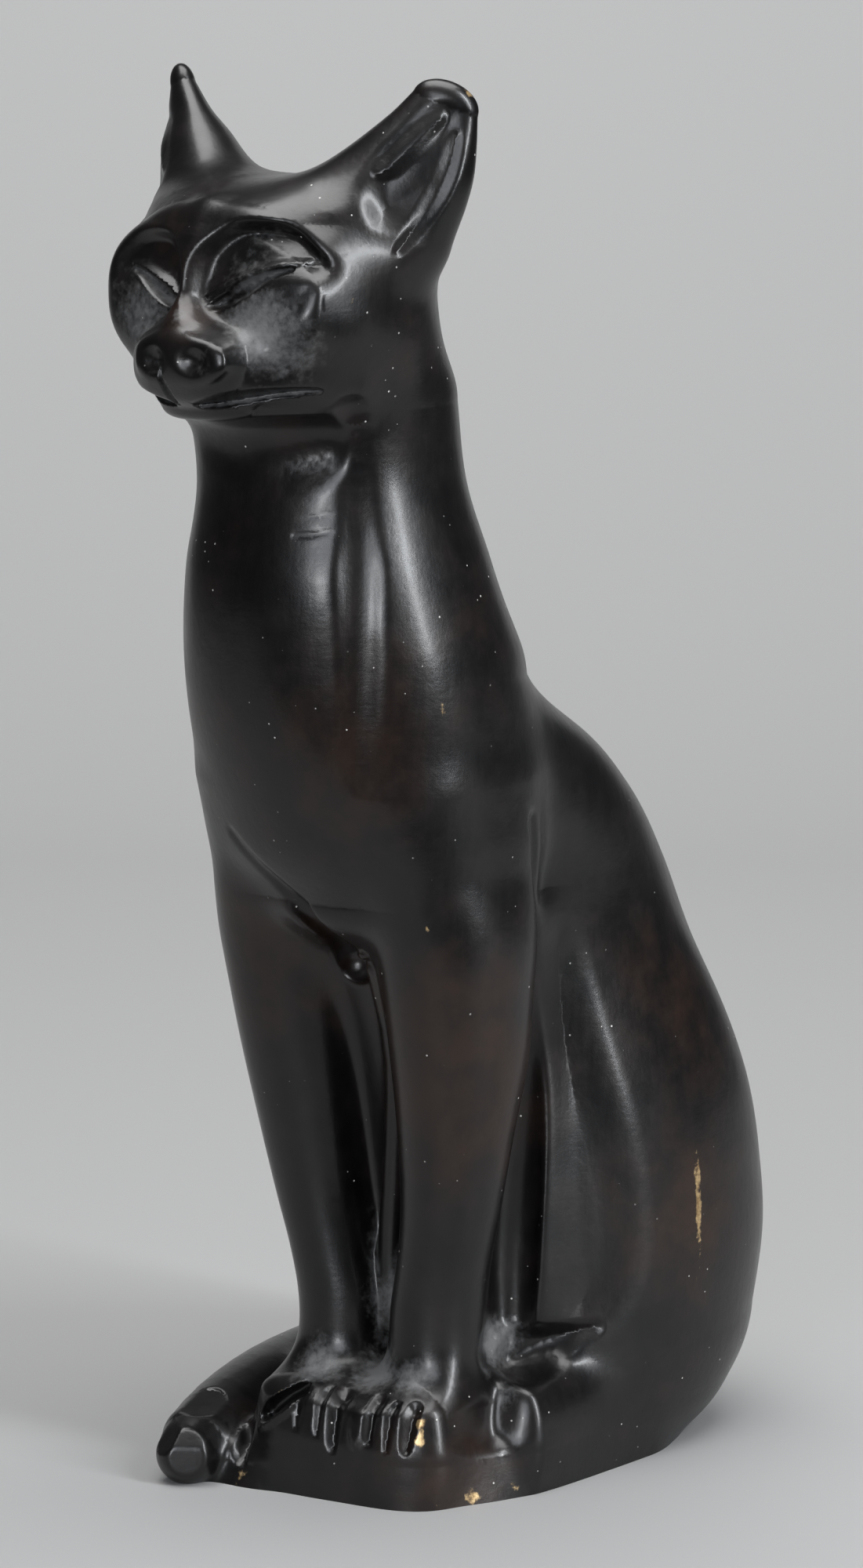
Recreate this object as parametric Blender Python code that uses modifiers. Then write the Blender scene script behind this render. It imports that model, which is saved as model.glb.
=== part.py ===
"""A seated bronze cat, 196 mm to the ear tips, cast in one piece.

The figure faces -Y, with its left side at +X, and stands on its flat underside at Z = 0.
It is built up as a modeller builds a wax: plain soft volumes are pressed together, the joins
are smoothed over, the hollows are cut in, and the foot is sliced flat.
"""

import math

import bmesh
import bpy
import numpy as np
from mathutils import Matrix, Vector

# Driving dimensions, in metres
HEIGHT = 0.1965
LATTICE = 0.0008
TRIANGLES = 9600

# Every proportion of the free form below is in shares of the height, each a millimetre at this size
UNIT = HEIGHT / 196.5

# The head's turn about the neck
HEAD_TURN = math.radians(-1.5)
NECK = np.array((0, -25, 0))

LEFT, RIGHT = 1, -1
UP = (0, 0, 1)
FORWARD = (0, -1, 0)


class Volume:
    """Oval sections stacked along a straight axis, with rounded ends.

    A section is (distance along the axis, side offset, fore offset, half width, half depth).
    """

    def __init__(self, name, base, axis, sections, ends, blend, square=2.0, across=(1, 0, 0)):
        self.name = name
        self.base = np.array(base, float)
        rise = np.array(axis, float) / np.linalg.norm(axis)
        side = np.array(across, float) - rise * np.dot(across, rise)
        side /= np.linalg.norm(side)
        self.frame = np.stack([side, np.cross(rise, side), rise])
        self.first, self.last = sections[0][0], sections[-1][0]
        self.ends = ends
        self.blend = blend
        self.square = square
        self.steps, self.table = smooth_table(sections)
        self.measure()

    def measure(self):
        """The box round the whole volume."""
        turn, share = np.meshgrid(np.linspace(0, 2 * math.pi, 17), np.linspace(0, math.pi, 13))
        ball = np.stack([np.cos(turn) * np.sin(share), np.sin(turn) * np.sin(share), -np.cos(share)], -1)
        skin = self.skin(ball.reshape(-1, 3))
        self.low, self.high = skin.min(0), skin.max(0)

    def section(self, along):
        """Offsets and half sizes at these distances along the axis."""
        return [np.interp(along, self.steps, column) for column in self.table]

    def overshoot(self, along):
        """How far past the first or last section, as a share of that end's rounding."""
        past = along - np.clip(along, self.first, self.last)
        return np.where(past < 0, past / self.ends[0], past / self.ends[1])

    def turn(self, rotation):
        self.base = rotation @ (self.base - NECK) + NECK
        self.frame = self.frame @ rotation.T
        self.measure()

    def distance(self, points):
        """Roughly the distance to the surface, negative inside."""
        side, fore, along = self.frame @ (points - self.base).T
        side_at, fore_at, half_side, half_fore = self.section(along)
        end = np.where(along < self.first, *self.ends)
        u = np.abs(side - side_at) / half_side
        v = np.abs(fore - fore_at) / half_fore
        w = self.overshoot(along)
        n = self.square
        level = np.sqrt((u**n + v**n) ** (2 / n) + w**2)
        slope = np.sqrt((u / half_side) ** 2 + (v / half_fore) ** 2 + (w / end) ** 2)
        return level * (level - 1) / np.maximum(slope, 1e-6)

    def skin(self, ball):
        """Points of a unit ball stretched over the sections."""
        share = np.arccos(np.clip(-ball[:, 2], -1, 1)) / math.pi
        start, stop = self.first - self.ends[0], self.last + self.ends[1]
        along = start + share * (stop - start)
        side_at, fore_at, half_side, half_fore = self.section(along)
        swell = np.sqrt(np.clip(1 - self.overshoot(along) ** 2, 0, 1))
        ring = np.maximum(np.hypot(ball[:, 0], ball[:, 1]), 1e-9)
        c, s = ball[:, 0] / ring, ball[:, 1] / ring
        power = 2 / self.square
        side = side_at + half_side * swell * np.sign(c) * np.abs(c) ** power
        fore = fore_at + half_fore * swell * np.sign(s) * np.abs(s) ** power
        return self.base + np.stack([side, fore, along], -1) @ self.frame

    def mesh(self):
        """A UV sphere stretched over the sections."""
        shape = bmesh.new()
        bmesh.ops.create_uvsphere(shape, u_segments=32, v_segments=24, radius=1)
        mesh = bpy.data.meshes.new(self.name)
        shape.to_mesh(mesh)
        shape.free()
        place(mesh, self.skin(vertices_of(mesh)))
        return mesh


class Rope:
    """A round form or cutter that follows a smooth path. A stop on it is (x, y, z, radius)."""

    def __init__(self, name, stops, blend, samples=24):
        self.name = name
        self.blend = blend
        knots = np.array(stops, float)
        lengths = np.linalg.norm(np.diff(knots[:, :3], axis=0), axis=1)
        rows = np.column_stack([np.concatenate([[0], np.cumsum(lengths)]), knots])
        steps, columns = smooth_table(rows)
        wanted = np.linspace(steps[0], steps[-1], samples)
        self.path = np.stack([np.interp(wanted, steps, column) for column in columns], -1)
        self.measure()

    def measure(self):
        """The box round the whole rope."""
        middle, radius = self.path[:, :3], self.path[:, 3:]
        self.low, self.high = (middle - radius).min(0), (middle + radius).max(0)

    def turn(self, rotation):
        self.path[:, :3] = (self.path[:, :3] - NECK) @ rotation.T + NECK
        self.measure()

    def distance(self, points):
        """Distance to the nearest stretch, less the radius there."""
        best = np.full(len(points), 1e9)
        for a, b in zip(self.path[:-1], self.path[1:]):
            run = b[:3] - a[:3]
            from_a = points - a[:3]
            share = np.clip(from_a @ run / (run @ run), 0, 1)
            gap = np.linalg.norm(from_a - share[:, None] * run, axis=1)
            best = np.minimum(best, gap - (a[3] + share * (b[3] - a[3])))
        return best

    def mesh(self):
        """A bevelled curve with a radius at every point, and balls that round its ends."""
        curve = bpy.data.curves.new(self.name, "CURVE")
        curve.dimensions = "3D"
        curve.bevel_depth = 1
        curve.bevel_resolution = 4
        curve.use_fill_caps = True
        spline = curve.splines.new("POLY")
        spline.points.add(len(self.path) - 1)
        for point, (x, y, z, radius) in zip(spline.points, self.path):
            point.co = (x, y, z, 1)
            point.radius = radius
        drawn = bpy.data.objects.new(self.name, curve)
        bpy.context.scene.collection.objects.link(drawn)
        bpy.context.view_layer.update()
        graph = bpy.context.evaluated_depsgraph_get()
        mesh = bpy.data.meshes.new_from_object(drawn.evaluated_get(graph))
        bpy.data.objects.remove(drawn)
        shape = bmesh.new()
        shape.from_mesh(mesh)
        bmesh.ops.remove_doubles(shape, verts=shape.verts, dist=1e-4)
        for x, y, z, radius in (self.path[0], self.path[-1]):
            ball = bmesh.ops.create_uvsphere(shape, u_segments=16, v_segments=12, radius=radius)
            bmesh.ops.translate(shape, verts=ball["verts"], vec=(x, y, z))
        shape.to_mesh(mesh)
        shape.free()
        return mesh


class Relief:
    """A patch of the surface that is sunk, or raised where the depth is negative.

    Its outline is a smooth ring of (across, up) points in a plane that faces the patch.
    """

    def __init__(self, name, middle, facing, up, ring, depth, edge, reach=8.0, tilt=(0, 0)):
        self.name = name
        self.base = np.array(middle, float)
        normal = np.array(facing, float) / np.linalg.norm(facing)
        rise = np.array(up, float) - normal * np.dot(up, normal)
        rise /= np.linalg.norm(rise)
        self.frame = np.stack([np.cross(rise, normal), rise, normal])
        self.ring = smooth_ring(ring)
        self.depth, self.edge, self.reach, self.tilt = depth, edge, reach, tilt
        self.blend = 0
        self.measure()

    def measure(self):
        """The box round the patch, as far behind its plane as its reach."""
        corners = [np.append(p, n) for p in self.ring for n in (-self.reach, 10)]
        corners = self.base + np.array(corners) @ self.frame
        self.low, self.high = corners.min(0) - self.edge, corners.max(0) + self.edge

    def turn(self, rotation):
        self.base = rotation @ (self.base - NECK) + NECK
        self.frame = self.frame @ rotation.T
        self.measure()

    def inside(self, flat):
        """How far inside the outline each point lies, negative outside."""
        best = np.full(len(flat), 1e9)
        within = np.zeros(len(flat), bool)
        x, y = flat.T
        for a, b in zip(self.ring, np.roll(self.ring, -1, axis=0)):
            run = b - a
            share = np.clip((flat - a) @ run / (run @ run), 0, 1)
            best = np.minimum(best, np.linalg.norm(flat - a - share[:, None] * run, axis=1))
            crosses = (a[1] > y) != (b[1] > y)
            if run[1]:
                within ^= crosses & (x < a[0] + (y - a[1]) * run[0] / run[1])
        return np.where(within, best, -best)

    def sink(self, points):
        """How deep the surface is pressed in at each point."""
        local = (points - self.base) @ self.frame.T
        share = np.clip(self.inside(local[:, :2]) / self.edge + 0.5, 0, 1)
        fade = np.clip((self.reach + local[:, 2]) / 1.5, 0, 1)
        deep = self.depth + local[:, :2] @ np.array(self.tilt, float)
        return deep * share**2 * (3 - 2 * share) * fade


def smooth_ring(points, fine=5):
    """A closed smooth curve through the points, as a polygon."""
    p = np.array(points, float)
    before, after, beyond = np.roll(p, 1, 0), np.roll(p, -1, 0), np.roll(p, -2, 0)
    s = np.arange(fine)[:, None, None] / fine
    curve = 0.5 * (
        2 * p + s * (after - before) + s**2 * (2 * before - 5 * p + 4 * after - beyond)
        + s**3 * (3 * p - 3 * after + beyond - before)
    )
    return curve.transpose(1, 0, 2).reshape(-1, 2)


def smooth_table(rows, fine=12):
    """A smooth curve through the rows: their first column, and the others as columns."""
    rows = np.array(rows, float)
    if len(rows) == 1:
        return rows[:, 0], rows[:, 1:].T
    t, values = rows[:, 0], rows[:, 1:]
    slopes = np.gradient(values, t, axis=0)
    wanted = np.unique(np.concatenate([np.linspace(a, b, fine) for a, b in zip(t[:-1], t[1:])]))
    i = np.clip(np.searchsorted(t, wanted) - 1, 0, len(t) - 2)
    width = (t[i + 1] - t[i])[:, None]
    s = (wanted - t[i])[:, None] / width
    curve = (
        (1 + 2 * s) * (1 - s) ** 2 * values[i]
        + s * (1 - s) ** 2 * width * slopes[i]
        + s**2 * (3 - 2 * s) * values[i + 1]
        + s**2 * (s - 1) * width * slopes[i + 1]
    )
    return wanted, curve.T


def vertices_of(mesh):
    """The mesh's vertices as an array."""
    flat = np.empty(len(mesh.vertices) * 3, np.float32)
    mesh.vertices.foreach_get("co", flat)
    return flat.reshape(-1, 3).astype(float)


def place(mesh, points):
    """Moves the mesh's vertices to these points."""
    mesh.vertices.foreach_set("co", points.astype(np.float32).ravel())
    mesh.update()


def joined(a, b, reach):
    """Two distances as one, with a fillet where the surfaces are within reach of each other."""
    near = np.maximum(reach - np.abs(a - b), 0) / reach
    return np.minimum(a, b) - near**2 * reach / 4


def cut(a, b, reach):
    """The first distance with the second taken out of it, the edge eased over the reach."""
    return -joined(-a, b, reach)


# The trunk: the chest and neck stand upright, and the back slopes down to the rump

def trunk():
    return [
        Volume("back", (0, 0, 0), UP, [
            (8, 0, 24, 22, 23), (20, 0, 27.5, 24, 27), (34, 0, 28.5, 24.6, 29.5), (48, 0, 27.5, 23, 29),
            (60, 0, 24.6, 21, 28.2), (72, 0, 21, 20.2, 27.2), (84, 0, 17, 19.8, 25),
            (95, 0, 10.7, 19.5, 22.6), (103, 0, 4.2, 18.5, 19.8), (109, 0, -3.2, 17, 17.2), (114, 0, -9, 15.5, 14),
        ], (10, 6), 0, square=2.15),
        Volume("chest", (0, 0, 0), UP, [
            (84, 0, -12.5, 18.5, 14.5), (90, 0, -13.2, 21.8, 18.4), (97, 0, -14.5, 22.8, 20.2),
            (104, 0, -15.9, 23.2, 21.2), (118, 0, -18.4, 22.8, 21.4), (130, 0, -20.2, 20.8, 20),
            (141, 0, -21.2, 18.0, 16.6), (152, 0, -22, 16.4, 15),
        ], (7, 9), 10),
        Volume("belly", (0, 0, 0), UP, [
            (14, 0, 6, 13, 12), (40, 0, 5, 13, 13), (66, 0, 2, 15, 16), (80, 0, -2, 17, 18),
        ], (12, 10), 6),
    ]


def thigh(side):
    return Volume("thigh", (side * 13, 25.5, 32), (0, -0.1, 1), [
        (-16, 0, 0.6, 11.6, 22), (-6, 0, 0.6, 12.4, 24.4), (6, 0, 0.6, 12.2, 24.4), (17, 0, -0.8, 10, 21.5),
    ], (16, 22), 9, across=(1, -0.2 * side, 0))


def hind_foot(side):
    return Volume("hind_foot", (side * 16.5, 22, 6.5), FORWARD, [
        (0, 0, 0, 6, 11), (12, 0, 0.5, 6, 9.5), (25, 0, 1, 5.8, 8.0),
    ], (8, 3.5), 3, square=2.6)


def foreleg(side):
    return Volume("foreleg", (0, 0, 0), UP, [
        (8, side * 8.0, -11.5, 6.6, 7.5), (17, side * 8.0, -9.8, 6.1, 6.6),
        (26, side * 8.3, -9.0, 6.4, 6.8), (32, side * 9.5, -9.4, 6.3, 6.7),
        (38.6, side * 10.9, -9.9, 6.7, 6.8), (51, side * 12.5, -10.6, 7.8, 8.1),
        (62.5, side * 13.4, -10.9, 9.0, 10.1), (70, side * 13.7, -11.6, 9.6, 10.9),
        (77, side * 13.8, -12.2, 10.3, 11.7), (90, side * 12.6, -13.2, 10.8, 14.2),
        (100, side * 11.4, -14.2, 11.4, 16.5),
    ], (8, 10), 3, square=2.1)


def forepaw(side):
    fore = 1.5 if side == RIGHT else -1.5
    return Volume("forepaw", (side * 7.8, -8, 5.5), FORWARD, [
        (0, 0, 0, 6.6, 9), (7 + fore, 0, -0.5, 7.2, 9.5), (13 + fore, 0, -1, 7.2, 8.6),
    ], (8, 3), 4, square=3.2)


def tail():
    return Rope("tail", [
        (4, 46, 9, 6.5), (-10, 50, 9, 7), (-22, 42, 8, 7), (-27.5, 27, 7.2, 6.8), (-28, 8, 7.0, 6.8),
        (-25.8, -8, 6.6, 6.4), (-23.2, -20, 5.0, 5.6), (-21.6, -27, 4.3, 4.9),
    ], 3)


def plinth():
    """The metal between and under the feet, which ends in one flat foot."""
    return [
        Volume("foot", (0, 0, 0), UP, [
            (0, 0.5, 10.5, 21.2, 30.5), (6, 0.5, 10.5, 20.4, 29.8),
        ], (6, 4), 3, square=3),
        Volume("toe_web", (-7.5, -12.5, 0), UP, [
            (0, 0, 0, 17.5, 11.5), (5, 0, 0, 16.5, 10.5),
        ], (5, 4), 3, square=3),
    ]


def web_ridge():
    """A rib of metal in the gap between the forelegs."""
    return Rope("web_ridge", [
        (4.5, -18, 74, 1.2), (3.6, -13, 62, 1.4), (1, -9.6, 46, 1.6), (-0.8, -8.2, 30, 1.8),
        (-0.6, -8, 22, 1.8),
    ], 1.5, 12)


def head():
    return [
        Volume("cranium", (0, 0, 0), UP, [
            (134, 0, -23.5, 11.5, 10.5), (142, 0, -24.2, 13.4, 12.0), (150, 0, -25.2, 15.6, 13.8),
            (158, 0, -27.5, 17.6, 15.6), (166, 0, -29, 18.4, 16.2), (173, 0, -29.5, 18.0, 16.2),
            (176.5, 0, -30, 16.5, 14.5),
        ], (10, 5.0), 6, square=2.3),
        Volume("face", (0, -30, 167), FORWARD, [
            (0, 0, 0, 18.6, 12.2), (8, -0.5, -0.2, 19.4, 12.0), (14.2, -0.8, -0.4, 18.3, 10.4),
        ], (10, 4.8), 7, square=2.5),
        Volume("muzzle", (0, -36, 158.2), FORWARD, [
            (0, 0, -0.8, 16.5, 7.2), (8, 0, -0.2, 13.8, 6.2), (14, 0, 0.2, 9.2, 5.4),
        ], (10, 4.5), 3, square=2.5),
        Volume("nose", (1.6, -46, 160), FORWARD, [
            (0, 0, 0, 7.2, 4.0), (5, 0, -0.2, 7.6, 3.6), (7.5, 0, -0.6, 7.6, 3.2),
        ], (4, 2.0), 1.5, square=2.6),
        Rope("nose_ridge", [
            (-1.5, -43.4, 177, 2.2), (-1.4, -47.0, 172.6, 1.9), (-1.2, -48.8, 167, 1.9),
            (-0.2, -50.4, 163, 2.8),
        ], 2.5, 8),
        Volume("lower_lip", (0, -36, 152.2), FORWARD, [
            (0, 0, 0, 14.5, 3.0), (6, 0, 0, 11.6, 2.6), (10.5, 0, 0, 7.2, 2.2),
        ], (8, 3), 2.0, square=2.4),
    ]


def ear(side):
    """The right ear is a little taller and comes to a narrower tip."""
    thin = 0 if side == LEFT else 1
    return Volume("ear", (side * 15.8, -28.6, 176), (side * (7.8 + 0.2 * thin), 3.2, 20), [
        (0, side * -2.2, 0, 10.6, 7.2), (6, side * -0.6, 0, 9.0, 6.2),
        (10, side * 0.3, 0, 7.6, 5.2),
        (14, side * (0.8 - 0.6 * thin), 0, 5.9 - 0.8 * thin, 3.6 - 0.4 * thin),
        (17.5 + 1.5 * thin, side * (0.9 - 0.8 * thin), 0, 4.5 - 2.3 * thin, 2.1 - 0.4 * thin),
    ], (8, 3.0), 5, across=(0.72, side * 0.54, -0.3 * side))


def turned(volume):
    """The head looks a little to the figure's right."""
    turn = Matrix.Rotation(HEAD_TURN, 3, "Z")
    turn = np.array(turn)
    volume.turn(turn)
    return volume


def pressed_together():
    """Every volume, in the order in which they are pressed onto the figure."""
    volumes = trunk()
    for side in (LEFT, RIGHT):
        volumes += [thigh(side), hind_foot(side)]
    volumes += plinth()
    for side in (LEFT, RIGHT):
        volumes += [foreleg(side), forepaw(side)]
    volumes += [web_ridge(), tail()]
    return volumes + [turned(part) for part in head() + [ear(LEFT), ear(RIGHT)]]


def head_cutters():
    """The scoop under the jaw, and the nostrils."""
    return [
        Rope("jaw", [
            (-9, -42, 145.6, 4.0), (0, -42.8, 144.8, 5.2), (8, -40.8, 145.0, 6.0), (14, -36.8, 146.2, 5.0),
            (18.6, -32.6, 148.4, 2.6),
        ], 2.2, 12),
    ] + [
        Volume("nostril", (across, -56.0, rise), UP, [(0, 0, 0, wide, 2.7)], (2.4, 2.4), 1.2)
        for across, rise, wide in ((5.2, 159.3, 3.0), (-2.4, 159.1, 2.6))
    ]


def face_relief(name, ring, depth, edge, tilt=(0, 0)):
    """A patch drawn on the face as seen from the front, in the figure's own X and Z."""
    return Relief(name, (0, -47, 165), FORWARD, UP, [(x, z - 165) for x, z in ring], depth, edge, 12, tilt)


def almond(start, stop, half_height, sag):
    """A pointed oval from one corner to the other."""
    a, b = np.array(start, float), np.array(stop, float)
    normal = np.array((a[1] - b[1], b[0] - a[0])) / np.linalg.norm(b - a)
    top = [a + t * (b - a) + normal * (half_height * math.sin(math.pi * t) + sag) for t in (0.25, 0.5, 0.75)]
    low = [a + t * (b - a) - normal * (half_height * math.sin(math.pi * t) - sag) for t in (0.75, 0.5, 0.25)]
    return [a] + top + [b] + low


def on_far_side(ring):
    """The far socket is a little smaller and lower: the near side's points, mirrored and shrunk."""
    return [(-2.2 - 0.8 * x, 165 + 0.86 * (z - 165)) for x, z in ring]


def eye_reliefs():
    """Each socket is deepest under its brow, with a raised lid over a slit of an eye."""
    socket = [
        (0.0, 169.4), (1.2, 173), (5.0, 176), (10.9, 176), (14.8, 174), (17.6, 170.6), (16.2, 166.4),
        (12.5, 162.4), (10.6, 159.8), (9.2, 158.6), (7.4, 160.8), (3.2, 164), (0.4, 166.8),
    ]
    brow = [
        (1.4, 169.6), (2.4, 172.2), (5.4, 174.4), (10.4, 174.4), (13.8, 172.8), (15.6, 171.0), (12, 170.8),
        (7.0, 170.0), (3.4, 168.6),
    ]
    slit = [
        (2.2, 165.9), (4.4, 167.6), (7.4, 169.4), (10.6, 170.5), (13.4, 170.9), (11.2, 169.9), (8.8, 168.2),
        (6.8, 167.0), (4.4, 166.0),
    ]
    lid = almond((1.6, 167.2), (14.6, 171.8), 0.55, 0.75)
    patches = []
    for seen, lean in ((list, -0.06), (on_far_side, 0.06)):
        patches += [
            face_relief("socket", seen(socket), 1.1, 1.8, (lean, 0.13)),
            face_relief("brow", seen(brow), 1.1, 4.4),
            face_relief("lid", seen(lid), -0.7, 1.3),
            face_relief("slit", seen(slit), 1.4, 1.1),
        ]
    return patches


def ear_reliefs(side):
    """A cup with a raised strip along its inner side and a groove along the outer rim."""
    thin = 0 if side == LEFT else 1
    cup = [
        (-4.0, -3), (-3.6, 2), (-1.6, 7), (0.8, 11.0), (2.8, 12.4), (4.4, 11), (5.0, 7), (4.4, 2), (1.6, -3),
        (-1.6, -5),
    ]
    strip = [
        (-4.4, 0.5), (-2.6, 5), (-0.4, 9.2), (1.4, 11.6), (2.2, 11.2), (1.2, 8.0), (-0.4, 4.4), (-1.8, 0.5),
        (-3.0, -1.5),
    ]
    groove = [(4.8, 10.0), (5.8, 6), (5.4, 0.5), (3.6, -4.5), (2.2, -6.5), (3.2, -1), (4.0, 4), (4.2, 9.0)]
    facing = math.radians(66 if thin else 46)
    return [
        Relief(
            name, (side * 20.2, -32.2, 180), (side * math.sin(facing), -math.cos(facing), 0),
            (side * 7.4, 3.2, 20), [(side * x, z * (1 - 0.2 * thin)) for x, z in ring],
            depth * (1 - 0.4 * thin), edge, 3.2 - 1.4 * thin, (0, tilt),
        )
        for name, ring, depth, edge, tilt in (
            ("cup", cup, 1.2, 3.6, -0.04), ("strip", strip, -0.7, 2.0, 0), ("groove", groove, 0.5, 2.0, 0),
        )
    ]


def mouth_reliefs():
    """One cut on each side of the lip, and a short one from the nose down to it."""
    half = [
        (2.0, 153.2), (4.5, 154.0), (7.5, 154.8), (10.8, 155.3), (14.6, 155.2), (11, 154.5), (7.5, 153.7),
        (4.5, 153.1),
    ]
    cuts = [face_relief("mouth", [(side * x, z) for x, z in half], 0.9, 1.0) for side in (LEFT, RIGHT)]
    return cuts + [
        face_relief("philtrum", [(-1.5, 157.6), (-0.9, 157.6), (-0.7, 153.8), (-1.3, 153.8)], 0.5, 0.7),
    ]


def head_reliefs():
    patches = ear_reliefs(LEFT) + ear_reliefs(RIGHT) + eye_reliefs() + mouth_reliefs()
    return [turned(patch) for patch in patches]


def body_cutters():
    """The grooves round the limbs, and a long shallow one down the chest."""
    pieces = [
        Rope("breast_crease", [
            (-10, -31.8, 93, 0.5), (-7, -31.4, 89.5, 1.0), (-3, -28, 84.5, 1.5), (0, -22, 79, 2.2),
            (0, -17, 74, 2.6),
        ], 1.5, 12),
        Rope("chest_groove", [
            (18.5, -41, 146, 6.0), (19, -41.2, 134, 6.8), (18.8, -42, 122, 6.8), (17.5, -42.4, 110, 6.2),
            (15, -41, 100, 5.0),
        ], 1.5, 12),
    ]
    for side in (LEFT, RIGHT):
        pieces += [
            Rope("elbow_groove", [
                (side * 23, -6.5, 95, 0.8), (side * 22, -4.2, 87, 1.6), (side * 19.2, -1.2, 76, 2.2),
                (side * 16.6, 0.2, 60, 2.8), (side * 14.8, 0.4, 44, 3.2), (side * 14.0, 0.3, 30, 3.4),
                (side * 14, 0.3, 23, 3.0),
            ], 2),
            Rope("hock_hollow", [
                (side * 15.6, -4, 19.4, 2.8), (side * 18.4, 2, 18.4, 3.0), (side * 21.6, 8, 19.4, 2.0),
                (side * 24.6, 13, 21.0, 0.7),
            ], 1.6, 10),
            Rope("paw_channel", [(side * 20.2, -8.6, 17, 1.8), (side * 20.8, -8.8, 6, 1.2)], 1.5, 4),
        ]
    return pieces + toe_grooves()


def toe_grooves():
    """Four blunt toes to a paw, parted on the front and a little way over the top."""
    pieces = []
    for side, front in ((LEFT, -22.6), (RIGHT, -25.6)):
        for across in (4.2, 8.2, 11.6):
            back = 0.25 * (across - 8) ** 2 / 4
            pieces.append(Rope("toe_groove", [
                (side * across, front + 4.5 + back, 15.6, 0.8), (side * across, front + 0.6 + back, 13.4, 0.8),
                (side * across, front - 0.1 + back, 9.5, 0.6),
            ], 0.6, 8))
    return pieces


def cutters():
    return [turned(piece) for piece in head_cutters()] + body_cutters()


def worked(result, points, pieces, way):
    """Presses these pieces on, or cuts them out, where they come near the points."""
    for piece in pieces:
        margin = piece.blend + 3
        near = np.all((points > piece.low - margin) & (points < piece.high + margin), axis=1)
        if near.any():
            result[near] = way(result[near], piece.distance(points[near]), piece.blend)
    return result


def figure(points, volumes, hollows, reliefs):
    """Distance to the finished surface, in units, negative inside."""
    result = volumes[0].distance(points)
    result = worked(result, points, volumes[1:], joined)
    result = worked(result, points, hollows, cut)
    for patch in reliefs:
        near = np.all((points > patch.low) & (points < patch.high), axis=1)
        if near.any():
            result[near] += patch.sink(points[near])
    return result


def settle(mesh, surface, rounds):
    """Moves the vertices down the slope of the distance until they lie on the surface."""
    step = 0.05
    for _ in range(rounds):
        points = vertices_of(mesh) / UNIT
        here = surface(points)
        slope = np.stack([surface(points + step * axis) - here for axis in np.eye(3)], -1) / step
        steepness = np.maximum((slope**2).sum(1), 0.25)
        move = slope * (here / steepness)[:, None]
        longest = np.maximum(np.linalg.norm(move, axis=1), 1e-9)
        move *= np.minimum(1, 1.5 / longest)[:, None]
        place(mesh, (points - move) * UNIT)


def apply_modifier(obj, kind, **settings):
    """Adds a modifier, applies it and leaves the plain mesh."""
    modifier = obj.modifiers.new(kind.title(), kind)
    for name, value in settings.items():
        setattr(modifier, name, value)
    graph = bpy.context.evaluated_depsgraph_get()
    graph.update()
    made = bpy.data.meshes.new_from_object(obj.evaluated_get(graph))
    obj.modifiers.clear()
    obj.data = made


def relax(mesh, rounds, share=0.5):
    """Evens out the vertices: each moves a share of the way to its neighbours' middle."""
    ends = np.empty(len(mesh.edges) * 2, np.int32)
    mesh.edges.foreach_get("vertices", ends)
    a, b = ends.reshape(-1, 2).T
    count = np.bincount(ends, minlength=len(mesh.vertices))[:, None]
    for _ in range(rounds):
        points = vertices_of(mesh)
        total = np.stack([
            np.bincount(a, points[b, i], len(points)) + np.bincount(b, points[a, i], len(points)) for i in range(3)
        ], -1)
        place(mesh, points + share * (total / count - points))


def bronze():
    """Dark brown-black patina, satin from handling."""
    material = bpy.data.materials.new("bronze")
    material.use_nodes = True
    skin = material.node_tree.nodes["Principled BSDF"]
    skin.inputs["Base Color"].default_value = (0.020, 0.015, 0.013, 1)
    skin.inputs["Roughness"].default_value = 0.32
    skin.inputs["Metallic"].default_value = 0.4
    return material


def build():
    volumes, hollows = pressed_together(), cutters()
    reliefs = head_reliefs()
    shape = bmesh.new()
    for volume in volumes:
        shape.from_mesh(volume.mesh())
    bmesh.ops.scale(shape, verts=shape.verts, vec=(UNIT,) * 3)
    mesh = bpy.data.meshes.new("cat_statuette")
    shape.to_mesh(mesh)
    shape.free()
    cat = bpy.data.objects.new("cat_statuette", mesh)
    bpy.context.scene.collection.objects.link(cat)
    apply_modifier(cat, "REMESH", mode="VOXEL", voxel_size=LATTICE)
    for _ in range(3):
        relax(cat.data, 2)
        settle(cat.data, lambda points: figure(points, volumes, hollows, reliefs), 2)
    apply_modifier(cat, "DECIMATE", ratio=TRIANGLES / (2 * len(cat.data.vertices)))
    shape = bmesh.new()
    shape.from_mesh(cat.data)
    sliced = bmesh.ops.bisect_plane(
        shape, geom=shape.verts[:] + shape.edges[:] + shape.faces[:],
        plane_co=Vector((0, 0, 0)), plane_no=Vector((0, 0, -1)), clear_outer=True,
    )
    rim = [item for item in sliced["geom_cut"] if isinstance(item, bmesh.types.BMEdge)]
    bmesh.ops.contextual_create(shape, geom=rim)
    bmesh.ops.triangulate(shape, faces=shape.faces)
    shape.to_mesh(cat.data)
    shape.free()
    cat.data.shade_smooth()
    cat.data.materials.append(bronze())
    return cat


for old in list(bpy.data.objects):
    bpy.data.objects.remove(old)
build()
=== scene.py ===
import math

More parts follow.
